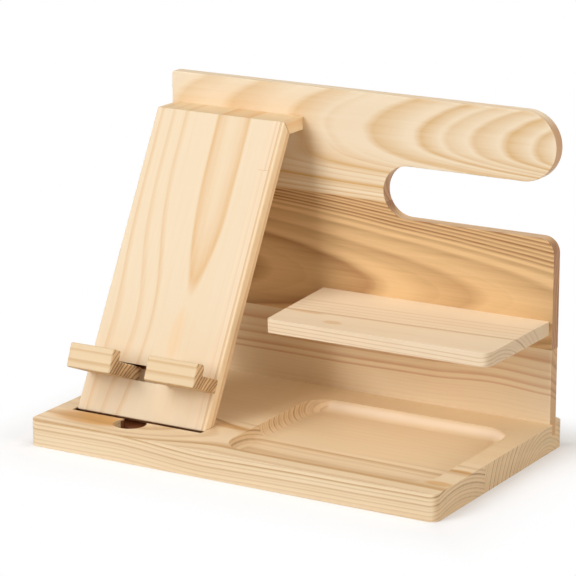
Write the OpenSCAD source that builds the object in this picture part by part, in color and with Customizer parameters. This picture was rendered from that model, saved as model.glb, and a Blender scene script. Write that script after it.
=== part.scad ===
// Wooden charging stand: a leaning phone panel with two ledge hooks, a back board with a watch arm,
// a small shelf and a base with a coved tray.
// The origin is the middle of the base's underside, +X to the right, +Y to the back, +Z up.

/* [Base] */
// Width of the base, along X
base_w = 300; // [280:1:340]
// Depth of the base, along Y
base_d = 178; // [170:1:210]
// Thickness of the base
base_t = 18; // [16:0.5:24]
// Radius of the base's four upright corners
base_corner_r = 6; // [2:0.5:8]
// Depth of the front stave, from the front edge to the glue joint
base_front_stave_d = 65; // [55:1:80]

/* [Tray] */
// Width of the tray recess at its rim
tray_w = 149; // [100:1:152]
// Depth of the tray recess at its rim, front to back
tray_d = 122; // [80:1:124]
// Gap from the tray's rim to the right end of the base
tray_right_margin = 15; // [8:0.5:20]
// Gap from the tray's rim to the front edge of the base
tray_front_margin = 15; // [8:0.5:20]
// Radius of the tray's corners in plan
tray_corner_r = 18; // [10:0.5:30]
// How deep the tray is cut
tray_depth = 7.5; // [4:0.5:10]
// Radius of the cove where the tray's wall meets its floor
tray_cove_r = 7; // [1:0.5:7]

/* [Back board] */
// Height of the back board's top above the table
board_top_z = 223; // [200:1:260]
// Thickness of the back board
board_t = 9; // [7:0.5:12]
// Land of the base left behind the back board
board_back_margin = 7.6; // [4:0.2:12]
// How far the back board stops short of the left end of the base
board_left_inset = 9.5; // [6:0.5:20]
// How far the back board stops short of the right end of the base
board_right_inset = 1.7; // [1:0.1:6]
// Depth of the groove that the back board stands in
groove_depth = 10; // [5:0.5:11]
// Gap left under the back board in its groove
groove_gap = 1; // [0.2:0.1:2]
// Height of the glue joint between the lower and the middle stave
lower_joint_z = 68; // [55:1:72]
// Height of the glue joint between the middle and the upper stave
upper_joint_z = 151.5; // [147:0.5:158]
// Radius of the outer corner under the watch slot
board_corner_r = 10.5; // [4:0.5:14]
// Radius of the two small corners at the left end
board_left_corner_r = 1.5; // [0.5:0.5:4]

/* [Watch arm] */
// Height of the arm, from the slot to the top edge
arm_h = 46; // [36:1:50]
// Height of the open slot under the arm
watch_slot_h = 35.5; // [28:0.5:38]
// Length of the open slot, from its round end to the right edge of the board
watch_slot_l = 124.5; // [90:0.5:130]

/* [Phone panel] */
// Width of the phone panel
panel_w = 99.5; // [85:0.5:110]
// Thickness of the phone panel
panel_t = 10.2; // [8:0.2:12]
// Gap from the left end of the base to the phone panel
panel_left_margin = 13; // [10:0.5:20]
// How far behind the front edge the panel's face meets the base
panel_foot_y = 36.9; // [30:0.1:45]
// Width of the thin stave along the panel's right edge
edge_stave_w = 2.8; // [2:0.2:4]
// Width of the jointed strip beside the thin stave
panel_strip_w = 7.8; // [5:0.2:8]
// Distance up the slope to the butt joint in the strip
panel_strip_joint_s = 176; // [150:1:185]
// How far the front edge of the panel's square foot sinks below the top of the base
foot_sink = 0.8; // [0.4:0.1:3]
// Gap left in front of the panel's foot in its slot
foot_front_gap = 5.4; // [1:0.1:7]
// Clearance at each end of the panel's foot in its slot
foot_clearance = 0.4; // [0.2:0.1:1]

/* [Bridge] */
// Height of the bridge's top above the table
bridge_top_z = 202.3; // [180:0.1:210]
// Thickness of the bridge
bridge_t = 9; // [7:0.5:12]
// Depth of the bridge's top, from the panel's head to the back board
bridge_d = 23.6; // [18:0.2:40]

/* [Ledge hooks] */
// Slope of the hook arms below level, in degrees
hook_slope = 22; // [12:0.5:30]
// Distance up the panel's slope to the top of the hook arms
hook_s = 34; // [28:0.5:45]
// Thickness of the hook arms
hook_arm_t = 9.5; // [7:0.5:11]
// Thickness of the lips
hook_lip_t = 9.6; // [6:0.2:12]
// Clear depth of the channel between the lips and the panel
hook_channel = 19.6; // [14:0.2:24]
// How far the lips stand above the arms
hook_lip_h = 7; // [4:0.5:12]
// Width of the cable gap between the hooks
cable_gap_w = 26.3; // [16:0.1:34]
// How far the cable gap's middle lies left of the panel's middle
cable_gap_shift = 1.4; // [0:0.1:4]
// How far the left hook stops short of the panel's left edge
left_hook_inset = 1.2; // [0.2:0.1:4]
// How much of the panel's edge stands beside the mortise
mortise_margin = 13; // [12:0.5:16]
// Thickness of the panel left behind the blind mortise
mortise_back_t = 1.8; // [1:0.1:3]
// Clearance above the hook arms in the mortise
mortise_clearance = 1; // [0.2:0.1:1.2]

/* [Cable hole] */
// Diameter of the cable hole in the base
cable_hole_d = 21.5; // [12:0.5:24]
// Gap from the front edge to the middle of the cable hole
cable_hole_y = 24.5; // [20:0.5:28]

/* [Shelf] */
// Height of the shelf's top above the table
shelf_top_z = 87; // [70:0.5:110]
// Thickness of the shelf
shelf_t = 9.2; // [8:0.2:14]
// Depth of the shelf in front of the back board
shelf_d = 86.4; // [60:0.2:95]
// Length of the shelf along the back board
shelf_l = 167.5; // [130:0.5:172]
// How far the shelf stops short of the board's right edge
shelf_right_inset = 2.4; // [1:0.2:6]
// How much shorter the shelf is at its front than at the board
shelf_slant = 7.5; // [0:0.5:12]
// Radius of the shelf's front right corner
shelf_corner_r = 8; // [3:0.5:15]
// Radius of the shelf's front left corner
shelf_left_corner_r = 2.5; // [1:0.5:8]

/* [Dowels] */
// Diameter of the beech dowels
dowel_d = 6; // [4:0.5:6]
// Length of each dowel in the shelf or the bridge
dowel_long = 14; // [8:0.5:14]
// Length of each dowel in the back board
dowel_short = 5.5; // [3:0.5:5.5]
// Glue clearance round and at the ends of a dowel
dowel_clearance = 0.2; // [0.1:0.1:0.4]
// Number of dowels behind the shelf
shelf_dowel_n = 3; // [2:1:4]
// Number of dowels behind the bridge
bridge_dowel_n = 2; // [2:1:3]

/* [Hidden] */
$fn = 96;
cut = 1;
left_x = -base_w / 2;
right_x = base_w / 2;
front_y = -base_d / 2;
back_y = base_d / 2;
joint_y = front_y + base_front_stave_d;

tray_x1 = right_x - tray_right_margin;
tray_x0 = tray_x1 - tray_w;
tray_y0 = front_y + tray_front_margin;
tray_y1 = tray_y0 + tray_d;

board_y1 = back_y - board_back_margin;
board_y0 = board_y1 - board_t;
board_x0 = left_x + board_left_inset;
board_x1 = right_x - board_right_inset;
groove_floor_z = base_t - groove_depth;
board_bottom_z = groove_floor_z + groove_gap;
slot_top_z = board_top_z - arm_h;
slot_bottom_z = slot_top_z - watch_slot_h;
slot_end_x = board_x1 - watch_slot_l;

panel_x0 = left_x + panel_left_margin;
panel_x1 = panel_x0 + panel_w;
panel_mid_x = (panel_x0 + panel_x1) / 2;
foot_y = front_y + panel_foot_y;
panel_lean = atan2(board_y0 - bridge_d - foot_y, bridge_top_z - base_t);
panel_run = panel_t / cos(panel_lean);
foot_z = base_t - foot_sink;
foot_floor_z = foot_z - panel_t * sin(panel_lean);
strip_x1 = panel_x1 - edge_stave_w;
strip_x0 = strip_x1 - panel_strip_w;
bridge_bottom_z = bridge_top_z - bridge_t;

hook_y = foot_y + hook_s * sin(panel_lean);
hook_z = base_t + hook_s * cos(panel_lean);
gap_mid_x = panel_mid_x - cable_gap_shift;
gap_x0 = gap_mid_x - cable_gap_w / 2;
gap_x1 = gap_mid_x + cable_gap_w / 2;
mortise_x0 = panel_x0 + mortise_margin;
mortise_x1 = panel_x1 - mortise_margin;
mortise_depth = panel_t - mortise_back_t;
hole_y = front_y + cable_hole_y;

shelf_x1 = board_x1 - shelf_right_inset;
shelf_x0 = shelf_x1 - shelf_l;
shelf_y0 = board_y0 - shelf_d;
shelf_mid_z = shelf_top_z - shelf_t / 2;
bridge_mid_z = bridge_top_z - bridge_t / 2;

PINE = "#E9CBA0";
PINE_PALE = "#F1DDBE";
PINE_ORANGE = "#E0B070";
BEECH = "#D9B48C";

// Y of the panel's front face at a height
function panel_face_y(z) = foot_y + (z - base_t) * tan(panel_lean);

// Middles of a row of n things spread evenly between two ends
function spread(a, b, n) = [for (i = [0 : n - 1]) a + (b - a) * (i + 0.5) / n];

// A rectangle with its own radius at each corner: [front left, front right, back right, back left]
module rounded_rect(x0, y0, x1, y1, radii) {
    difference() {
        translate([x0, y0]) square([x1 - x0, y1 - y0]);
        if (radii[0] > 0) corner_cut(x0, y0, 1, 1, radii[0]);
        if (radii[1] > 0) corner_cut(x1, y0, -1, 1, radii[1]);
        if (radii[2] > 0) corner_cut(x1, y1, -1, -1, radii[2]);
        if (radii[3] > 0) corner_cut(x0, y1, 1, -1, radii[3]);
    }
}

// The waste outside a round corner at (x, y), whose sides run along sx and sy
module corner_cut(x, y, sx, sy, r) {
    translate([x, y])
        mirror([sx < 0 ? 1 : 0, 0])
            mirror([0, sy < 0 ? 1 : 0])
                difference() {
                    translate([-cut, -cut]) square([r + cut, r + cut]);
                    translate([r, r]) circle(r = r);
                }
}

// A YZ outline drawn out along X from x0 to x1
module along_x(x0, x1) {
    translate([x0, 0, 0])
        rotate([90, 0, 90])
            linear_extrude(height = x1 - x0)
                children();
}

// An XZ outline drawn out along Y from y0 to y1
module along_y(y0, y1) {
    translate([0, y1, 0])
        rotate([90, 0, 0])
            linear_extrude(height = y1 - y0)
                children();
}

// Half of the tray's cross-section, from a corner's centre out to its wall
module tray_section() {
    flat = tray_corner_r - tray_cove_r;
    wall = tray_depth - tray_cove_r;
    translate([0, -tray_depth]) square([flat, tray_depth + cut]);
    translate([0, -wall]) square([tray_corner_r, wall + cut]);
    intersection() {
        translate([flat, -wall]) circle(r = tray_cove_r);
        translate([0, -tray_depth]) square([tray_corner_r, tray_depth]);
    }
}

// The cutter for the tray: coved sides, coved round corners and a flat floor
module tray_cutter() {
    r = tray_corner_r;
    translate([0, 0, base_t]) {
        for (x = [tray_x0 + r, tray_x1 - r], y = [tray_y0 + r, tray_y1 - r])
            translate([x, y, 0]) rotate_extrude() tray_section();
        for (s = [0, 1])
            translate([0, s * (tray_y0 + tray_y1), 0])
                mirror([0, s, 0])
                    translate([tray_x0 + r, tray_y0 + r, 0])
                        rotate([90, 0, 90])
                            linear_extrude(height = tray_w - 2 * r)
                                mirror([1, 0]) tray_section();
        for (s = [0, 1])
            translate([s * (tray_x0 + tray_x1), 0, 0])
                mirror([s, 0, 0])
                    translate([tray_x0 + r, tray_y1 - r, 0])
                        rotate([90, 0, 0])
                            linear_extrude(height = tray_d - 2 * r)
                                mirror([1, 0]) tray_section();
        translate([tray_x0 + r, tray_y0 + r, -tray_depth])
            cube([tray_w - 2 * r, tray_d - 2 * r, tray_depth + cut]);
    }
}

// The base before it is cut into its two staves
module base_blank() {
    difference() {
        linear_extrude(height = base_t)
            rounded_rect(left_x, front_y, right_x, back_y, [for (i = [0 : 3]) base_corner_r]);
        tray_cutter();
        groove_cutter();
        foot_slot_cutter();
        translate([panel_mid_x, hole_y, -cut]) cylinder(d = cable_hole_d, h = base_t + 2 * cut);
    }
}

// The groove for the back board, open at the right end of the base
module groove_cutter() {
    translate([board_x0, board_y0, groove_floor_z])
        cube([right_x - board_x0 + cut, board_t, groove_depth + cut]);
}

// The upright-walled slot for the panel's leaning foot, whose lower back edge rests on its floor
module foot_slot_cutter() {
    y0 = panel_face_y(foot_z) - foot_front_gap;
    y1 = foot_y + panel_run;
    translate([panel_x0 - foot_clearance, y0, foot_floor_z])
        cube([panel_w + 2 * foot_clearance, y1 - y0, base_t - foot_floor_z + cut]);
}

module base_front_stave() {
    color(PINE)
        intersection() {
            base_blank();
            translate([left_x - cut, front_y - cut, -cut])
                cube([base_w + 2 * cut, base_front_stave_d + cut, base_t + 3 * cut]);
        }
}

module base_rear_stave() {
    color(PINE)
        intersection() {
            base_blank();
            translate([left_x - cut, joint_y, -cut])
                cube([base_w + 2 * cut, back_y - joint_y + cut, base_t + 3 * cut]);
        }
}

// The outline of the back board, with the watch arm over its open slot
module board_outline() {
    arm_r = arm_h / 2;
    end_r = watch_slot_h / 2;
    difference() {
        rounded_rect(board_x0, board_bottom_z, board_x1, board_top_z,
            [0, 0, arm_r, board_left_corner_r]);
        translate([slot_end_x + end_r, slot_bottom_z])
            square([board_x1 - slot_end_x + cut, watch_slot_h]);
        translate([slot_end_x + end_r, slot_bottom_z + end_r]) circle(r = end_r);
        corner_cut(board_x1, slot_top_z, -1, 1, arm_r);
        corner_cut(board_x1, slot_bottom_z, -1, -1, board_corner_r);
    }
}

// The back board between two heights, with the blind holes for the dowels
module board_between(z0, z1) {
    difference() {
        along_y(board_y0, board_y1)
            intersection() {
                board_outline();
                translate([board_x0 - cut, z0]) square([board_x1 - board_x0 + 2 * cut, z1 - z0]);
            }
        dowel_row(shelf_dowel_xs, shelf_mid_z, dowel_clearance);
        dowel_row(bridge_dowel_xs, bridge_mid_z, dowel_clearance);
    }
}

module back_lower_stave() {
    color(PINE) board_between(board_bottom_z, lower_joint_z);
}

module back_middle_stave() {
    color(PINE_ORANGE) board_between(lower_joint_z, upper_joint_z);
}

module back_upper_stave() {
    color(PINE_PALE) board_between(upper_joint_z, board_top_z);
}

shelf_dowel_xs = spread(shelf_x0, shelf_x1, shelf_dowel_n);
bridge_dowel_xs = spread(panel_x0, panel_x1, bridge_dowel_n);

// A row of dowels across the back board's face, or their holes when there is clearance
module dowel_row(xs, z, clearance) {
    for (x = xs)
        translate([x, board_y0 - dowel_long - clearance, z])
            rotate([-90, 0, 0])
                cylinder(d = dowel_d + clearance, h = dowel_long + dowel_short + 2 * clearance);
}

module shelf_dowels() {
    color(BEECH) dowel_row(shelf_dowel_xs, shelf_mid_z, 0);
}

module bridge_dowels() {
    color(BEECH) dowel_row(bridge_dowel_xs, bridge_mid_z, 0);
}

// The leaning panel between two X places: its foot is cut square and its head is mitred
module panel_between(x0, x1) {
    along_x(x0, x1)
        polygon([
            [panel_face_y(foot_z), foot_z],
            [panel_face_y(bridge_top_z), bridge_top_z],
            [panel_face_y(bridge_bottom_z) + panel_run, bridge_bottom_z],
            [panel_face_y(foot_floor_z) + panel_run, foot_floor_z]
        ]);
}

// Everything behind a plane that lies an offset behind the panel's front face, from x0 to x1
module behind_panel_face(offset, x0, x1) {
    reach = board_top_z;
    translate([x0, foot_y, base_t])
        rotate([-panel_lean, 0, 0])
            translate([0, offset, -reach / 2])
                cube([x1 - x0, reach, 2 * reach]);
}

// Places its children in the hooks' frame: Y runs along the arm into the panel, Z is square to it
module hook_frame() {
    translate([0, hook_y, hook_z])
        rotate([-hook_slope, 0, 0])
            children();
}

// The sloping blind mortise in the panel, wide enough for both hook arms and the cable gap
module mortise_cutter() {
    difference() {
        hook_frame()
            translate([mortise_x0, -hook_channel, -hook_arm_t])
                cube([mortise_x1 - mortise_x0, 2 * hook_channel, hook_arm_t + mortise_clearance]);
        behind_panel_face(mortise_depth, mortise_x0 - cut, mortise_x1 + cut);
    }
}

module phone_panel() {
    color(PINE_PALE)
        difference() {
            panel_between(panel_x0, strip_x0);
            mortise_cutter();
        }
}

// The part of the strip below or above its butt joint, square to the slope
module strip_part(s0, s1) {
    intersection() {
        panel_between(strip_x0, strip_x1);
        translate([strip_x0 - cut, foot_y, base_t])
            rotate([-panel_lean, 0, 0])
                translate([0, -cut, s0])
                    cube([panel_strip_w + 2 * cut, panel_t + 2 * cut, s1 - s0]);
    }
}

module panel_strip_lower() {
    color(PINE) strip_part(-board_top_z, panel_strip_joint_s);
}

module panel_strip_upper() {
    color(PINE_PALE) strip_part(panel_strip_joint_s, board_top_z);
}

module panel_edge_stave() {
    color(PINE) panel_between(strip_x1, panel_x1);
}

// The level rail between the panel's head and the back board
module bridge() {
    color(PINE_PALE)
        difference() {
            along_x(panel_x0, panel_x1)
                polygon([
                    [panel_face_y(bridge_top_z), bridge_top_z],
                    [board_y0, bridge_top_z],
                    [board_y0, bridge_bottom_z],
                    [panel_face_y(bridge_bottom_z) + panel_run, bridge_bottom_z]
                ]);
            dowel_row(bridge_dowel_xs, bridge_mid_z, dowel_clearance);
        }
}

// An L-shaped ledge hook from x0 to x1: its tenon, from t0 to t1, fills the mortise's depth
module hook(x0, x1, t0, t1) {
    lip_y = -hook_channel - hook_lip_t;
    difference() {
        hook_frame() {
            translate([x0, lip_y, -hook_arm_t])
                cube([x1 - x0, 2 * hook_channel + hook_lip_t, hook_arm_t]);
            translate([x0, lip_y, -hook_arm_t])
                cube([x1 - x0, hook_lip_t, hook_arm_t + hook_lip_h]);
        }
        if (t0 > x0) behind_panel_face(0, x0 - cut, t0);
        if (t1 < x1) behind_panel_face(0, t1, x1 + cut);
        behind_panel_face(mortise_depth, x0 - cut, x1 + cut);
    }
}

module left_hook() {
    color(PINE) hook(panel_x0 + left_hook_inset, gap_x0, mortise_x0, gap_x0);
}

module right_hook() {
    color(PINE) hook(gap_x1, panel_x1, gap_x1, mortise_x1);
}

// The shelf in plan: its left end slants, and its two front corners are round
module shelf_outline() {
    r = shelf_left_corner_r;
    slant = atan2(shelf_slant, shelf_d);
    cx = shelf_x0 + shelf_slant + r * (1 - sin(slant)) / cos(slant);
    cy = shelf_y0 + r;
    difference() {
        polygon([
            [cx, shelf_y0],
            [shelf_x1, shelf_y0],
            [shelf_x1, board_y0],
            [shelf_x0, board_y0],
            [cx - r * cos(slant), cy - r * sin(slant)],
            [cx, cy]
        ]);
        corner_cut(shelf_x1, shelf_y0, -1, 1, shelf_corner_r);
    }
    translate([cx, cy]) circle(r = r);
}

module shelf() {
    color(PINE_PALE)
        difference() {
            translate([0, 0, shelf_top_z - shelf_t])
                linear_extrude(height = shelf_t)
                    shelf_outline();
            dowel_row(shelf_dowel_xs, shelf_mid_z, dowel_clearance);
        }
}

base_front_stave();
base_rear_stave();
back_lower_stave();
back_middle_stave();
back_upper_stave();
phone_panel();
panel_strip_lower();
panel_strip_upper();
panel_edge_stave();
bridge();
left_hook();
right_hook();
shelf();
shelf_dowels();
bridge_dowels();
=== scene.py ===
# %% [markdown]
# # A pine charging stand
#
# The stand is glued up from narrow pine staves: a base with a coved tray, a back board with a
# watch arm, a small shelf, and a leaning phone panel with two ledge hooks. Its sizes come from
# the CAD model. This script gives it soft sanded edges, real-looking timber and studio light.

import math

import bmesh
import bpy
from mathutils import Matrix, Vector


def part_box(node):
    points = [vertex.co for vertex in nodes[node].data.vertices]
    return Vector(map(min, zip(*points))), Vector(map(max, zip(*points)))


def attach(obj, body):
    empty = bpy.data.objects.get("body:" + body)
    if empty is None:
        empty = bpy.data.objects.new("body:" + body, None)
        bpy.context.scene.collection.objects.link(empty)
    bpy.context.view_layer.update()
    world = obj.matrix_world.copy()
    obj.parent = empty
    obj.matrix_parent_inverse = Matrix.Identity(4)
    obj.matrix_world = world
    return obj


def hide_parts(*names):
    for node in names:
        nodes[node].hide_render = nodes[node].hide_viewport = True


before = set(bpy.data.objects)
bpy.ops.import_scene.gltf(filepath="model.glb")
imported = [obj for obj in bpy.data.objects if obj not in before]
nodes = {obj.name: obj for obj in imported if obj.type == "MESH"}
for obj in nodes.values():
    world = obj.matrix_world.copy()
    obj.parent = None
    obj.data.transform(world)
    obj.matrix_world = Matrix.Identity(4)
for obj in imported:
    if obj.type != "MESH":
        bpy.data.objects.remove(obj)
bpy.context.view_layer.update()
MM = 0.001

# %% [markdown]
# ## Small tools for soft edges
#
# The edges in the photograph are softly broken, as if with sandpaper, so light catches a thin
# bright line along them. The CAD model has sharp edges. We could draw each board again, but a
# copy of the CAD mesh keeps every slot and groove exactly where it is. The copy is merged, its
# flat faces are joined up, and then only the true corners are bevelled. Edges in a glue joint
# stay sharp, because two glued staves are sanded flush as one board.

# %% Sizes of the edge work
MERGE = 0.002 * MM
IN_PLANE = 0.05 * MM
FLAT = math.radians(0.2)
CORNER = math.radians(30)
SHADED_SHARP = math.radians(38)
BEVEL_STEPS = 3
print("corners of", round(math.degrees(CORNER)), "degrees and more are sanded")


# %% Which edges get sanded
def in_plane(edge, square, place):
    """True when the whole edge lies in the plane that is square to a direction"""
    return all(abs(v.co.dot(square) - place) < IN_PLANE for v in edge.verts)


def inside(edge, box):
    low, high = box
    return all(low[i] * MM < v.co[i] < high[i] * MM for v in edge.verts for i in range(3))


def is_corner(edge):
    return len(edge.link_faces) == 2 and edge.calc_face_angle(0) >= CORNER


# %% Copy a CAD piece, and turn the copy into a piece that stands for it
def merged_copy(node):
    bm = bmesh.new()
    bm.from_mesh(nodes[node].data)
    bmesh.ops.remove_doubles(bm, verts=bm.verts[:], dist=MERGE)
    bmesh.ops.dissolve_limit(bm, angle_limit=FLAT, verts=bm.verts[:], edges=bm.edges[:])
    return bm


def as_piece(bm, name, replaced):
    mesh = bpy.data.meshes.new(name)
    bm.to_mesh(mesh)
    bm.free()
    piece = bpy.data.objects.new(name, mesh)
    bpy.context.scene.collection.objects.link(piece)
    mesh.shade_smooth()
    mesh.set_sharp_from_angle(angle=SHADED_SHARP)
    weighted = piece.modifiers.new("even_flats", "WEIGHTED_NORMAL")
    weighted.keep_sharp = True
    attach(piece, "root")
    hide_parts(*replaced)
    return piece


# %% Sand a copy of one CAD piece
def sanded(node, radius, joints=(), crisp=None):
    """Edges in the joints, planes as (direction, place), and in the crisp box in mm stay sharp"""
    bm = merged_copy(node)
    edges = [
        e for e in bm.edges
        if is_corner(e)
        and not any(in_plane(e, square, place) for square, place in joints)
        and not (crisp and inside(e, crisp))
    ]
    bmesh.ops.bevel(
        bm, geom=edges, offset=radius, offset_type="OFFSET", affect="EDGES",
        segments=BEVEL_STEPS, profile=0.5, material=-1, clamp_overlap=True,
    )
    bmesh.ops.remove_doubles(bm, verts=bm.verts[:], dist=MERGE)
    piece = as_piece(bm, "sanded_" + node, [node])
    print(node, "edges sanded:", len(edges), "faces:", len(piece.data.polygons))
    return piece


# %% [markdown]
# ## Where the glue joints are
#
# The base is two staves, glued along one line, and the back board is three. The panel's right
# side is three more pieces, and its head meets the bridge in a mitre. Each joint is a plane: a
# direction square to it and a place along that direction.

# %% The planes of the joints
def farthest(node, square):
    return max(v.co.dot(square) for v in nodes[node].data.vertices)


PANEL_LEAN = math.radians(28.68)
EAST, BACK, UP = Vector((1, 0, 0)), Vector((0, 1, 0)), Vector((0, 0, 1))
SLOPE = Vector((0, math.sin(PANEL_LEAN), math.cos(PANEL_LEAN)))
base_joint = (BACK, farthest("base_front_stave", BACK))
low_joint = (UP, farthest("back_lower_stave", UP))
high_joint = (UP, farthest("back_middle_stave", UP))
strip_left = (EAST, farthest("phone_panel", EAST))
strip_right = (EAST, farthest("panel_strip_lower", EAST))
strip_butt = (SLOPE, farthest("panel_strip_lower", SLOPE))

# %% [markdown]
# The mitre's plane halves the angle between the bridge, which runs to the back, and the panel,
# which runs down the slope. It goes through the bridge's front top edge.

# %% The plane of the mitre
across_mitre = EAST.cross(BACK - SLOPE).normalized()
ridge = Vector((0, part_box("bridge")[0][1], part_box("bridge")[1][2]))
mitre = (across_mitre, ridge.dot(across_mitre))
JOINTS = {
    "base": base_joint, "low board": low_joint, "high board": high_joint,
    "strip's left": strip_left, "strip's right": strip_right, "strip's butt": strip_butt,
    "mitre": mitre,
}
for label, (square, place) in JOINTS.items():
    print(label, "joint:", [round(c, 3) for c in square], round(place / MM, 2), "mm")

# %% [markdown]
# ## The base, the back board and the shelf
#
# Their outer edges are eased by about a millimetre. The narrow cuts, which are the slot for the
# panel's foot and the groove for the back board, stay crisp.

# %% The broad boards
THICK_EASE, BOARD_EASE = 1.2 * MM, 1.0 * MM
foot_slot = ((-139, -60, 9), (-35, -38, 19))
groove = ((-151, 60, 5), (151, 88, 19))
base_front = sanded("base_front_stave", THICK_EASE, [base_joint], crisp=foot_slot)
base_rear = sanded("base_rear_stave", THICK_EASE, [base_joint], crisp=groove)
board_lower = sanded("back_lower_stave", BOARD_EASE, [low_joint])
board_middle = sanded("back_middle_stave", BOARD_EASE, [low_joint, high_joint])
board_upper = sanded("back_upper_stave", BOARD_EASE, [high_joint])
shelf = sanded("shelf", THICK_EASE)

# %% [markdown]
# ## The phone panel, its bridge and the hooks
#
# The panel's glued strips share their faces, so only the outer edges are eased. The mortise and
# the hooks' tenons fit each other, so they stay crisp. The hooks' lips get the roundest edges of
# the stand.

# %% Panel, bridge and hooks
PANEL_EASE, HOOK_EASE = 0.9 * MM, 1.3 * MM
mortise = ((-125, -46, 34), (-49, -20, 52))
tenons = ((-140, -46, 30), (-30, -15, 60))
strip_joints = [strip_left, strip_right, strip_butt]
panel = sanded("phone_panel", PANEL_EASE, [strip_left, mitre], crisp=mortise)
strip_low = sanded("panel_strip_lower", PANEL_EASE, strip_joints)
strip_high = sanded("panel_strip_upper", PANEL_EASE, strip_joints + [mitre])
edge_stave = sanded("panel_edge_stave", PANEL_EASE, [strip_right, mitre])
bridge = sanded("bridge", PANEL_EASE, [mitre])
hook_left = sanded("left_hook", HOOK_EASE, crisp=tenons)
hook_right = sanded("right_hook", HOOK_EASE, crisp=tenons)

# %% [markdown]
# ## A short way to write materials
#
# A material is a graph of nodes. Wrapping a socket in a small class lets sums be written as
# Python expressions: `1 - mask` or `rings * gain` each add a Math node.


# %% The socket wrapper
class Wire:
    """One output socket. Operators between Wires and numbers add Math nodes"""

    def __init__(self, graph, socket):
        self.graph = graph
        self.socket = socket

    def math(self, operation, *values):
        return self.graph.node("ShaderNodeMath", {"operation": operation}, list(values))

    def __add__(self, other):
        return self.math("ADD", self, other)

    def __sub__(self, other):
        return self.math("SUBTRACT", self, other)

    def __rsub__(self, other):
        return self.math("SUBTRACT", other, self)

    def __mul__(self, other):
        return self.math("MULTIPLY", self, other)

    def __truediv__(self, other):
        return self.math("DIVIDE", self, other)

    def __pow__(self, other):
        return self.math("POWER", self, other)

    __radd__ = __add__
    __rmul__ = __mul__

    def floor(self):
        return self.math("FLOOR", self)

    def fract(self):
        return self.math("FRACT", self)

    def root(self):
        return self.math("SQRT", self)

    def size(self):
        return self.math("ABSOLUTE", self)

    def clamp(self):
        return self.graph.node("ShaderNodeClamp", {}, {"Value": self})

    def ramp(self, low, high):
        """0 at low, 1 at high, and a smooth change between them; high may be the smaller"""
        values = {"Value": self, "From Min": low, "From Max": high}
        return self.graph.node("ShaderNodeMapRange", {"interpolation_type": "SMOOTHSTEP"}, values)


# %% The graph of nodes
OBJECT_PLACE, NORMAL = 3, 1
RAYS_SEEN = ("Is Camera Ray", "Is Glossy Ray", "Is Transmission Ray")


class Graph:
    """A tree of nodes, built node by node"""

    def __init__(self, tree):
        self.tree = tree

    def node(self, kind, settings, values, output=0):
        made = self.tree.nodes.new(kind)
        for key, value in settings.items():
            setattr(made, key, value)
        pairs = values.items() if isinstance(values, dict) else enumerate(values)
        for key, value in pairs:
            self.feed(made.inputs[key], value)
        return Wire(self, made.outputs[output])

    def feed(self, socket, value):
        if isinstance(value, Wire):
            self.tree.links.new(value.socket, socket)
        else:
            socket.default_value = value

    def coordinate(self, output):
        return self.node("ShaderNodeTexCoord", {}, {}, output)

    def split(self, at):
        """The three numbers of a vector"""
        made = self.tree.nodes.new("ShaderNodeSeparateXYZ")
        self.feed(made.inputs[0], at)
        return [Wire(self, made.outputs[i]) for i in range(3)]

    def noise(self, at, rough):
        values = {"Vector": at, "Scale": 1.0, "Detail": 2.0, "Roughness": rough}
        return self.node("ShaderNodeTexNoise", {"noise_dimensions": "3D"}, values)

    def stretch(self, at, sizes, shift=(0, 0, 0)):
        values = {"Vector": at, "Scale": sizes, "Location": shift}
        return self.node("ShaderNodeMapping", {}, values)

    def scale_of(self, stops, at):
        """A grey scale that reads depth at a place from 0 to 1; it holds 32 stops at most"""
        made = self.tree.nodes.new("ShaderNodeValToRGB")
        marks = made.color_ramp.elements
        while len(marks) < len(stops):
            marks.new(0.5)
        for mark, (place, depth) in zip(marks, stops):
            mark.position = place
            mark.color = (depth, depth, depth, 1)
        self.feed(made.inputs[0], at)
        return Wire(self, made.outputs[0])

    def mix(self, amount, a, b):
        """Colour a at amount 0 and colour b at amount 1"""
        return self.node("ShaderNodeMix", {"data_type": "RGBA"}, {0: amount, 6: a, 7: b}, 2)

    def seen(self):
        """1 for what the camera sees, straight, in a gloss or through glass, and 0 for the rest"""
        rays = self.tree.nodes.new("ShaderNodeLightPath")
        return sum((Wire(self, rays.outputs[name]) for name in RAYS_SEEN), 0.0).clamp()


# %% One material
class Finish(Graph):
    def __init__(self, name):
        self.material = bpy.data.materials.new(name)
        self.material.use_nodes = True
        super().__init__(self.material.node_tree)
        self.shader = self.tree.nodes["Principled BSDF"]


# %% Colours written as on a paint chart
def linear(c):
    return c / 12.92 if c < 0.04045 else ((c + 0.055) / 1.055) ** 2.4


def srgb(code):
    return tuple(linear(int(code[i : i + 2], 16) / 255) for i in (1, 3, 5)) + (1.0,)


# %% [markdown]
# ## Pine
#
# A pine board is a slice of a log, and a log is a stack of rings round its pith. So the material
# is solid: it measures each point's distance from a pith line that runs along the board's grain.
# Soft pale wood grows in spring and hard orange wood in summer, so each ring fades slowly to
# orange and then ends sharply. Where a face cuts the rings at a slant, the same rings show as
# long lines, cathedral arches or end-grain arcs, with no picture needed.
#
# The numbers below are noise scales per metre, along the grain and across it. Wood is made of
# long fibres, so every noise is stretched along the grain.

# %% How the noises are stretched
SLOW_WANDER = (6, 18, 18)
RIPPLES = (16, 110, 110)
FIBRES = (45, 1700, 1700)
STREAKS = (9, 420, 420)
DRIFTS = (7, 30, 30)
SLOW_PUSH, RIPPLE_PUSH = 8.0 * MM, 1.2 * MM
print("fibres:", FIBRES, "per metre")


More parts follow.
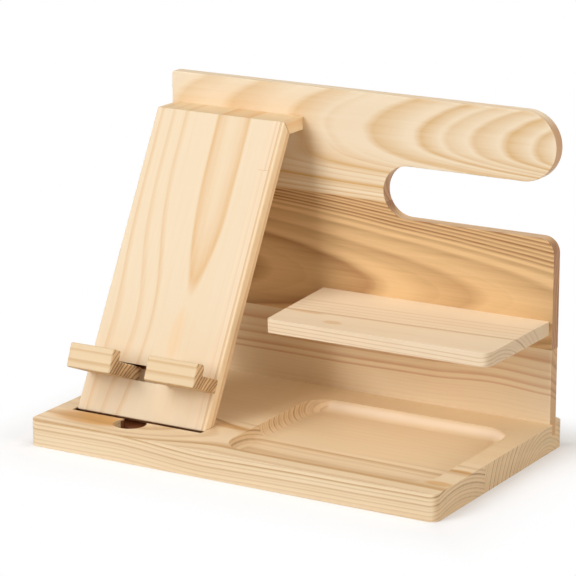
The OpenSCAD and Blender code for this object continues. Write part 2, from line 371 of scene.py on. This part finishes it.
# %% A record of the rings
def growth(rings, rest=0.0):
    """Turns (radius, depth, fade) in mm into stops: a ring darkens over fade, then ends sharply"""
    stops = []
    for radius, depth, fade in sorted(rings):
        if not stops or radius - fade > stops[-1][0] + 0.3:
            stops.append((radius - fade, rest))
        stops += [(radius - 0.18 * fade, depth), (radius + 0.22, rest)]
    return stops


# %% [markdown]
# The distance from the pith is the heart of it. A real log is never quite straight, so its rings
# wander slowly along it, and a little across it. `lift` raises the log over a stretch of the
# board, and `bend` pushes it aside near one place, which turns plain lines into a flame.


# %% How far a point is from the pith
def from_pith(f, grain, line, seed, pith, tilt, warp, lift, bend):
    u, a, b = line
    slow = f.noise(f.stretch(grain, SLOW_WANDER, (seed, seed * 2, 3)), 0.45)
    ripple = f.noise(f.stretch(grain, RIPPLES, (seed * 3, 1, seed)), 0.5)
    da = a - (u * tilt[0] + pith[0] * MM)
    db = b - (u * tilt[1] + pith[1] * MM)
    if lift:
        db = db - u.ramp(lift[0] * MM, lift[1] * MM) * (lift[2] * MM)
    for u0, a0, wide_u, wide_a, push in bend:
        near = 1 - (u - u0 * MM).size().ramp(0.0, wide_u * MM)
        beside = 1 - (a - a0 * MM).size().ramp(0.0, wide_a * MM)
        da = da - near * beside * (push * MM)
    reach = (da * da + db * db).root()
    reach = reach + (slow - 0.5) * (SLOW_PUSH * warp) + (ripple - 0.5) * (RIPPLE_PUSH * warp)
    return reach, slow


# %% Plain rings: every year has its own width and depth of colour
def plain_rings(f, reach, ring, seed, gain):
    years = f.node("ShaderNodeTexNoise", {"noise_dimensions": "1D"},
                   {"W": reach * (0.22 / (ring * MM)) + seed, "Scale": 1.0, "Detail": 1.0})
    count = reach / (ring * MM) + (years - 0.5) * 1.6
    phase = count.fract()
    year = f.node("ShaderNodeTexWhiteNoise", {"noise_dimensions": "1D"},
                  {"W": count.floor() + seed})
    summer = phase.ramp(0.3, 0.92) * (1 - phase.ramp(0.94, 1.0))
    return summer ** 1.3 * (0.45 + year * 0.75) * gain


# %% Rings that stand out in one board
def strong_rings(f, reach, rings, rest):
    stops = growth(rings, rest)
    first, last = stops[0][0], stops[-1][0]
    where = (reach - first * MM) / ((last - first) * MM)
    return f.scale_of([((r - first) / (last - first), d) for r, d in stops], where)


# %% [markdown]
# Two more tools colour one place in a board. A stain is a soft oval of resin-orange wood. A
# painted-light box paints one box of a board: dark brown painted shade in the narrow slots, the
# cable hole and the mortise, and a pale painted highlight on the tray's back cove.


# %% Stains and boxes of painted light
def stained(f, soft, line, slow, stains, stain_to):
    u, a, _ = line
    for u0, a0, long, wide, strength in stains:
        du, dw = (u - u0 * MM) / (long * MM), (a - a0 * MM) / (wide * MM)
        spread = (du * du + dw * dw).root() + (slow - 0.5) * 0.9
        soft = f.mix((1 - spread.ramp(0.45, 1.0)) * strength, soft, srgb(stain_to))
    return soft


def painted_light_boxes(f, colour, line, painted_light):
    """Each box gives its low and high places on the three lines in mm, and blurs at its sides"""
    # each box paints shade or a highlight over the wood's own colour
    for box, tint, blur in painted_light:
        within = 1.0
        for along, (low, high) in zip(line, box):
            half = (high - low) / 2
            side = (along - (low + half) * MM).size()
            within = (1 - side.ramp((half - blur) * MM, half * MM)) * within
        colour = f.mix(within, colour, srgb(tint))
    return colour


# %% [markdown]
# Now the recipe. First comes the point's place in the log, then the rings, then the fine fibres
# and the slow drift of colour. End grain is darker than a side, and its rings stand out. Hard
# summer wood is a little smoother than the soft wood round it.


# %% The pine recipe
def pine(name, turn, pith, tilt=(0, 0), ring=3.0, seed=1.0, pale="#F2DDBC", late="#CF9C58",
         gain=0.4, warp=0.3, rings=(), rest=0.0, lift=None, bend=(), zone=None, level=0.0,
         end_pale="#D6B488", end_late="#8A5C34", drift_to="#E2B67E", flush=0.2, faint=1.0,
         seam=None, painted_light=(), stains=(), stain_to="#DBA458"):
    """turn lays the grain along X; pith is (a, b) in mm at X = 0 and tilt its slope along X"""
    f = Finish(name)
    grain = f.node("ShaderNodeMapping", {},
                   {"Vector": f.coordinate(OBJECT_PLACE), "Rotation": turn})
    turned = f.node("ShaderNodeMapping", {"vector_type": "NORMAL"},
                    {"Vector": f.coordinate(NORMAL), "Rotation": turn})
    line = u, a, _ = f.split(grain)
    facing = f.split(turned)[0].size()
    end = facing.ramp(0.4, 0.95)

    reach, slow = from_pith(f, grain, line, seed, pith, tilt, warp, lift, bend)
    if zone:  # plain rings show on one side of the board only, and slant along it
        fine = a.ramp(zone[0] * MM, zone[1] * MM)
        reach = reach + u * level * fine
    summer = plain_rings(f, reach, ring, seed, gain)
    if zone:
        summer = summer * fine
    if rings:
        summer = summer + strong_rings(f, reach, rings, rest)
    if faint < 1:  # rings stay weak on the sides
        summer = summer * (faint + facing.ramp(0.0, 0.45) * (1 - faint))
    if seam is not None:  # a thin glue line across the grain
        summer = summer + (1 - (u - seam).size().ramp(0.15 * MM, 0.55 * MM)) * 0.55

    fibre = f.noise(f.stretch(grain, FIBRES), 0.6)
    streak = f.noise(f.stretch(grain, STREAKS, (0, seed, 0)), 0.55)
    drift = f.noise(f.stretch(grain, DRIFTS, (seed, 0, 0)), 0.5)
    tone = (fibre - 0.5) * 0.18 + (streak - 0.5) * 0.16
    mark = (summer * (0.8 + streak * 0.4) + tone).clamp()

    soft = f.mix(drift.ramp(0.4, 0.85) * flush, srgb(pale), srgb(drift_to))
    soft = stained(f, soft, line, slow, stains, stain_to)
    soft = f.mix(end, soft, srgb(end_pale))
    hard = f.mix(end, srgb(late), srgb(end_late))
    colour = painted_light_boxes(f, f.mix(mark, soft, hard), line, painted_light)
    height = summer * 0.6 + (fibre - 0.5) * 1.2
    bump = f.node("ShaderNodeBump", {}, {"Strength": 0.12, "Distance": 0.1 * MM, "Height": height})
    f.feed(f.shader.inputs["Base Color"], colour)
    f.feed(f.shader.inputs["Roughness"], 0.56 - summer * 0.1 + (fibre - 0.5) * 0.12)
    f.feed(f.shader.inputs["Normal"], bump)
    f.shader.inputs["IOR"].default_value = 1.45
    print(name, "nodes:", len(f.tree.nodes))
    return f.material


# %% [markdown]
# ## One log per stave
#
# Each stave was sawn from its own log, so each gets its own pith, ring width and colour. The
# grain runs along X in the base, the boards, the shelf and the hooks, and up the slope in the
# panel. A log behind a face draws arches on it; a log above or below it draws long lines.

# %% How each board's grain lies
def grain_turn(along, across):
    """The turn that lays the grain along local X and the board's width along local Y"""
    u, a = Vector(along), Vector(across)
    return Matrix((u, a, u.cross(a))).to_euler()


flat_x = (0.0, 0.0, 0.0)
stood_x = grain_turn(EAST, UP)
up_slope = grain_turn(SLOPE, EAST)
to_back = grain_turn(BACK, EAST)
for label, turn in (("stood", stood_x), ("slope", up_slope), ("back", to_back)):
    print(label, "turn:", [round(math.degrees(t)) for t in turn])

# %% [markdown]
# ### The base
#
# A strong ring list gives (radius, depth, fade) for each ring, counted from the pith in mm. The
# orange patch left of the cable hole is a stain. The hole and the foot's slot get painted shade,
# and the rear stave gets a painted highlight on the tray's back cove.

# %% The base
# the dark brown of painted shade in narrow slots and holes
PAINTED_SHADE = "#733F1D"
pine_base_front = pine(
    "pine_base_front", flat_x, (-56, -82), (-0.035, 0), ring=3.0, seed=1.3, pale="#F7E2C0",
    late="#C49350", end_pale="#E2C69E", gain=0.14, warp=0.2, lift=(-10, -90, 5.6),
    rings=[(87.8, 0.35, 1.4), (90.3, 0.3, 1.4), (92.8, 0.36, 1.0), (94.6, 0.25, 1.0),
           (96.7, 0.5, 2.4), (99.2, 0.35, 0.9), (101.8, 0.7, 1.5), (104.4, 0.35, 1.2)],
    # painted shade: dark brown in the cable hole and in the foot's slot
    painted_light=[(((-93, -70), (-76, -52), (3, 17.6)), PAINTED_SHADE, 0.8),
            (((-139, -34), (-61, -40), (6, 17.6)), PAINTED_SHADE, 0.8)],
    stains=[(-116, -68, 40, 15, 0.85), (-28, -36, 22, 5, 0.55), (141, -69, 13, 5, 0.6),
            (143, -41.5, 10, 3, 0.6)],
)
pine_base_rear = pine(
    "pine_base_rear", flat_x, (62, -22), ring=2.6, seed=2.1, pale="#F4DDB8", late="#C39860",
    gain=0.3, warp=0.2, end_late="#8E6238", end_pale="#E2C69E", faint=0.1,
    # painted highlight: pale on the tray's back cove
    painted_light=[(((-4, 136), (22, 52), (10.2, 18.2)), "#FBE8D0", 3.5)],
    rings=[(43.2, 0.3, 1.6), (47.4, 0.35, 1.8), (52.0, 0.4, 1.8), (56.9, 0.4, 1.8),
           (61.9, 0.45, 1.9), (67.1, 0.45, 1.9), (72.4, 0.45, 1.9), (77.9, 0.4, 2.0),
           (83.4, 0.35, 2.0)],
)

# %% [markdown]
# ### The back board
#
# Three staves from three logs: long lines in the pale lower one, close dark bands in the orange
# middle one, and arches on the upper one, which becomes the watch arm.

# %% The back board
pine_back_lower = pine(
    "pine_back_lower", stood_x, (130, -132.4), ring=2.2, seed=3.7, pale="#FAE6C6",
    late="#CC8A42", gain=0.06, warp=0.35, flush=0.08, end_pale="#CDA67C",
    # the broad ring at 93.7 mm is partly the board's own orange band and partly painted shade
    # under the shelf
    rings=[(86.0, 0.4, 1.5), (93.7, 0.5, 5.5), (97.9, 0.2, 2.0),
           (102.1, 0.5, 2.8), (107.4, 0.5, 3.2), (110.7, 0.5, 1.8)],
    bend=[(105, 40, 45, 60, 2.5)],
)
pine_back_middle = pine(
    "pine_back_middle", stood_x, (95, -148.4), (0, -0.05), ring=2.2, seed=4.2, pale="#EFCB95",
    late="#92581F", gain=0.08, warp=0.26, rest=0.1, end_pale="#C09268", end_late="#6E3A1C",
    rings=[(73.0, 0.45, 2.2), (77.2, 0.6, 3.2), (80.75, 0.48, 2.8), (84.5, 0.42, 3.0),
           (86.6, 0.5, 1.2), (88.0, 0.7, 0.8), (89.1, 0.9, 0.8), (90.3, 0.65, 0.8),
           (91.5, 0.9, 0.8), (92.6, 0.7, 0.8), (93.8, 0.95, 0.9), (95.0, 0.7, 0.9)],
)
pine_back_upper = pine(
    "pine_back_upper", stood_x, (200, -156.8), (0, 0.095), ring=1.5, seed=5.9, pale="#F4E3C7",
    late="#D6A75A", gain=0.45, warp=0.24, zone=(192, 168), level=0.08, end_pale="#CFA680",
    rings=[(72.2, 0.6, 1.3), (74.2, 0.7, 1.8), (76.3, 0.5, 1.6), (78.1, 0.35, 1.5),
           (80.0, 0.65, 2.0), (83.6, 0.58, 3.0), (86.4, 0.15, 0.8), (89.2, 0.5, 2.7),
           (93.9, 0.45, 3.2), (97.7, 0.35, 2.6)],
)

# %% [markdown]
# ### The phone panel
#
# The broad stave has a flame in its grain, and the bridge is drawn with the same rings. The
# strips have thin dark lines where the glue joints run, and the mortise gets painted shade.

# %% The phone panel
PANEL_RINGS = [(30.9, 0.66, 3.0), (47.6, 0.42, 3.4), (56.0, 0.34, 2.8), (63.8, 0.42, 2.8)]
pine_panel = pine(
    "pine_panel", up_slope, (-76, -25.85), ring=6.0, seed=6.4, pale="#ECD9BB",
    late="#DAA862", gain=0.04, warp=0.28, rings=PANEL_RINGS, lift=(130, 54, 3.4),
    bend=[(56, -103, 110, 36, 12)], drift_to="#EACDA2", flush=0.3,
    # painted shade: dark brown in the mortise's gap above the hooks
    painted_light=[(((24.4, 31), (-124.5, -49.5), (-53.9, -45)), PAINTED_SHADE, 0.8)],
    stains=[(50, -77, 22, 6, 0.4)], stain_to="#EFCB98",
)
pine_bridge = pine(
    "pine_bridge", to_back, (-76, -173.8), ring=6.0, seed=6.4, pale="#ECD3AC", late="#DCA560",
    gain=0.04, warp=0.28, rings=PANEL_RINGS,
)
pine_strip_low = pine(
    "pine_strip_lower", up_slope, (-148, -54), ring=4.0, seed=7.7, pale="#EFDABC",
    gain=0.1, warp=0.05, rings=[(99.6, 0.7, 0.6), (104.0, 0.2, 1.5), (107.7, 0.9, 0.6)],
)
pine_strip_high = pine(
    "pine_strip_upper", up_slope, (-148, -54), ring=4.0, seed=8.8, pale="#F0DCC0",
    gain=0.1, warp=0.05, rings=[(99.8, 0.6, 0.6), (105.0, 0.25, 1.2), (107.7, 0.9, 0.6)],
    seam=strip_butt[1],
)
pine_edge = pine(
    "pine_edge_stave", up_slope, (-148, -20), ring=3.0, seed=9.1, pale="#F3DCB8", late="#C08A48",
    gain=0.5, warp=0.2, rings=[(112.9, 0.8, 0.5)],
)

# %% [markdown]
# ### The hooks and the shelf
#
# The hooks show close arcs on their sawn ends. The shelf is a pale board with a few fine lines.
# The hidden dowels are beech, which is closer in grain than pine.

# %% The hooks and the shelf
HOOK_RINGS = [(30.5, 0.8, 1.8), (34.4, 0.85, 1.7), (37.7, 0.9, 1.5), (40.0, 0.9, 2.2),
              (42.6, 0.9, 2.4), (45.6, 0.95, 1.5), (48.7, 0.95, 1.5), (51.4, 0.95, 2.6),
              (54.2, 0.9, 2.7), (56.9, 0.85, 2.6), (59.9, 0.7, 1.6), (63.4, 0.6, 1.3)]
pine_left_hook, pine_right_hook = (
    pine(name, flat_x, (-26.5, b), ring=2.3, seed=seed, pale="#E6CEA8", late="#C99C60",
         gain=0.0, warp=0.12, rings=HOOK_RINGS, end_pale="#E4C498", end_late="#7E5230")
    for name, seed, b in (("pine_left_hook", 10.3, 9.0), ("pine_right_hook", 11.6, 9.7))
)
pine_shelf = pine(
    "pine_shelf", flat_x, (-8, 35), (0.05, 0), ring=2.4, seed=12.5, pale="#F7E4C8",
    late="#C4954F", end_pale="#DDC5A4", gain=0.05, warp=0.25,
    stains=[(27, 0, 9, 5, 0.4), (0, 14, 16, 3, 0.4)],
    rings=[(42.9, 0.4, 0.8), (45.2, 0.4, 0.8), (47.6, 0.4, 0.8), (50.2, 0.4, 0.8),
           (57.7, 0.6, 1.6), (60.6, 0.2, 1.0), (64.0, 0.25, 1.4), (68.0, 0.25, 1.6),
           (72.5, 0.3, 1.8)],
)
beech = pine(
    "beech_dowel", to_back, (0, 300), ring=1.5, seed=13.2, pale="#DDB68A", late="#B98A5E",
    gain=0.3,
)

# %% Give each piece its wood
WOODS = [
    (base_front, pine_base_front), (base_rear, pine_base_rear),
    (board_lower, pine_back_lower), (board_middle, pine_back_middle),
    (board_upper, pine_back_upper), (panel, pine_panel),
    (strip_low, pine_strip_low), (strip_high, pine_strip_high),
    (edge_stave, pine_edge), (bridge, pine_bridge),
    (hook_left, pine_left_hook), (hook_right, pine_right_hook), (shelf, pine_shelf),
]
for piece, wood in WOODS:
    piece.data.materials.clear()
    piece.data.materials.append(wood)
for name in ("shelf_dowels", "bridge_dowels"):
    nodes[name].material_slots[0].material = beech
print("finished pieces:", len(WOODS))

# %% [markdown]
# ## The studio
#
# The photograph looks lit by a large soft light from the front left and above, on a white sweep.
# The floor stays pale and keeps the stand's shadow, which fades into pure white away from the
# stand. Where the base hides the floor, it is painted a dark brown shade, so that the through hole
# shows shade and doesn't glow.

# %% How the floor changes with the distance from the base, in metres
HALF_BASE = (0.15, 0.089)
# painted shade: the floor under the base is dark brown
PAINTED_SHADE_UNDER_BASE, PALE_FLOOR = (0.05, 0.025, 0.012, 1), (0.7, 0.72, 0.75, 1)
BLACK, FLOOR_GLOW = (0, 0, 0, 1), (0.37, 0.37, 0.37, 1)
DARKENED, GLOWING, TO_WHITE = (-0.02, 0.0), (-0.02, 0.012), (-0.002, 0.06)

sweep = Finish("white_sweep")
spot = sweep.split(sweep.coordinate(OBJECT_PLACE))
over = [along.size() - half for along, half in zip(spot, HALF_BASE)]
beyond = over[0].math("MAXIMUM", over[0], over[1])
seen = sweep.seen()
# dark brown painted shade under the base, pale floor round it
sweep.feed(sweep.shader.inputs["Base Color"],
           sweep.mix(beyond.ramp(*DARKENED), PAINTED_SHADE_UNDER_BASE, PALE_FLOOR))
sweep.feed(sweep.shader.inputs["Emission Color"],
           sweep.mix(seen * beyond.ramp(*GLOWING), BLACK, FLOOR_GLOW))
sweep.shader.inputs["Roughness"].default_value = 1.0
sweep.shader.inputs["Specular IOR Level"].default_value = 0.0
sweep.shader.inputs["Emission Strength"].default_value = 1.0
paper = sweep.node("ShaderNodeEmission", {}, {"Color": (1, 1, 1, 1)})
lit = Wire(sweep, sweep.shader.outputs[0])
faded = sweep.node("ShaderNodeMixShader", {}, [seen * beyond.ramp(*TO_WHITE), lit, paper])
sweep.feed(sweep.tree.nodes["Material Output"].inputs[0], faded)
print("floor nodes:", len(sweep.tree.nodes))

# %% The floor
floor_mesh = bpy.data.meshes.new("sweep")
bm = bmesh.new()
bmesh.ops.create_grid(bm, x_segments=1, y_segments=1, size=6.0)
bm.to_mesh(floor_mesh)
bm.free()
floor = bpy.data.objects.new("sweep", floor_mesh)
bpy.context.scene.collection.objects.link(floor)
floor_mesh.materials.append(sweep.material)

# %% [markdown]
# Only what the camera sees of the world is pure white. The light that it throws on the stand is
# faint and warm, because the shadows on the wood are warm in the photograph.

# %% The white world
world = bpy.data.worlds.new("white_room")
bpy.context.scene.world = world
world.use_nodes = True
room = Graph(world.node_tree)
room.tree.nodes.clear()
white = room.node("ShaderNodeBackground", {}, {"Color": (1, 1, 1, 1), "Strength": 1.0})
warm = room.node("ShaderNodeBackground", {}, {"Color": (1.0, 0.72, 0.45, 1), "Strength": 0.13})
swap = room.node("ShaderNodeMixShader", {}, [room.seen(), warm, white])
room.feed(room.tree.nodes.new("ShaderNodeOutputWorld").inputs["Surface"], swap)
print("world nodes:", len(room.tree.nodes))

# %% [markdown]
# Five square softboxes light the stand. Two stand at the front left, one hangs above it, and two
# slightly warm ones stand at the right and behind.

# %% The soft lights
AIM = Vector((0, 0, 0.1))
NEUTRAL, WARM = (1.0, 0.995, 0.99), (1.0, 0.95, 0.88)
SOFTBOXES = {  # place and side in metres, power in watts, colour
    "key": ((-0.9, -2.1, 0.95), 0.9, 19.5, NEUTRAL),
    "front": ((-1.0, -1.5, 1.75), 1.5, 24.5, NEUTRAL),
    "top": ((0.2, -0.3, 2.3), 1.6, 8, NEUTRAL),
    "fill": ((2.2, -0.3, 0.8), 1.2, 24, WARM),
    "rear": ((-0.5, 2.3, 1.4), 1.2, 8, WARM),
}
for name, (place, side, power, colour) in SOFTBOXES.items():
    data = bpy.data.lights.new(name, "AREA")
    data.shape = "RECTANGLE"
    data.size = data.size_y = side
    data.energy = power
    data.color = colour
    lamp = bpy.data.objects.new(name, data)
    lamp.location = place
    lamp.rotation_euler = (AIM - Vector(place)).to_track_quat("-Z", "Y").to_euler()
    bpy.context.scene.collection.objects.link(lamp)
print("softboxes:", len(SOFTBOXES))

# %% [markdown]
# ## The camera
#
# The place and the lens were worked out from the photograph: the straight edges of the base and
# the boards give the viewpoint, and the camera looks down at 15 degrees from the right.

# %% The camera
VIEWPOINT = (0.92542, -1.57795, 0.59911)
LENS, SENSOR = 183.6, 36.0
LOOK_DOWN, LOOK_ROUND = math.radians(15.08), math.radians(30.56)
view = bpy.data.cameras.new("view")
view.sensor_width = SENSOR
view.lens = LENS
view.clip_start, view.clip_end = 0.05, 50.0
camera = bpy.data.objects.new("view", view)
camera.location = VIEWPOINT
camera.rotation_euler = (math.pi / 2 - LOOK_DOWN, 0.0, LOOK_ROUND)
bpy.context.scene.collection.objects.link(camera)
bpy.context.scene.camera = camera
bpy.context.scene.view_settings.view_transform = "Standard"
print("camera at", VIEWPOINT, "lens", LENS)
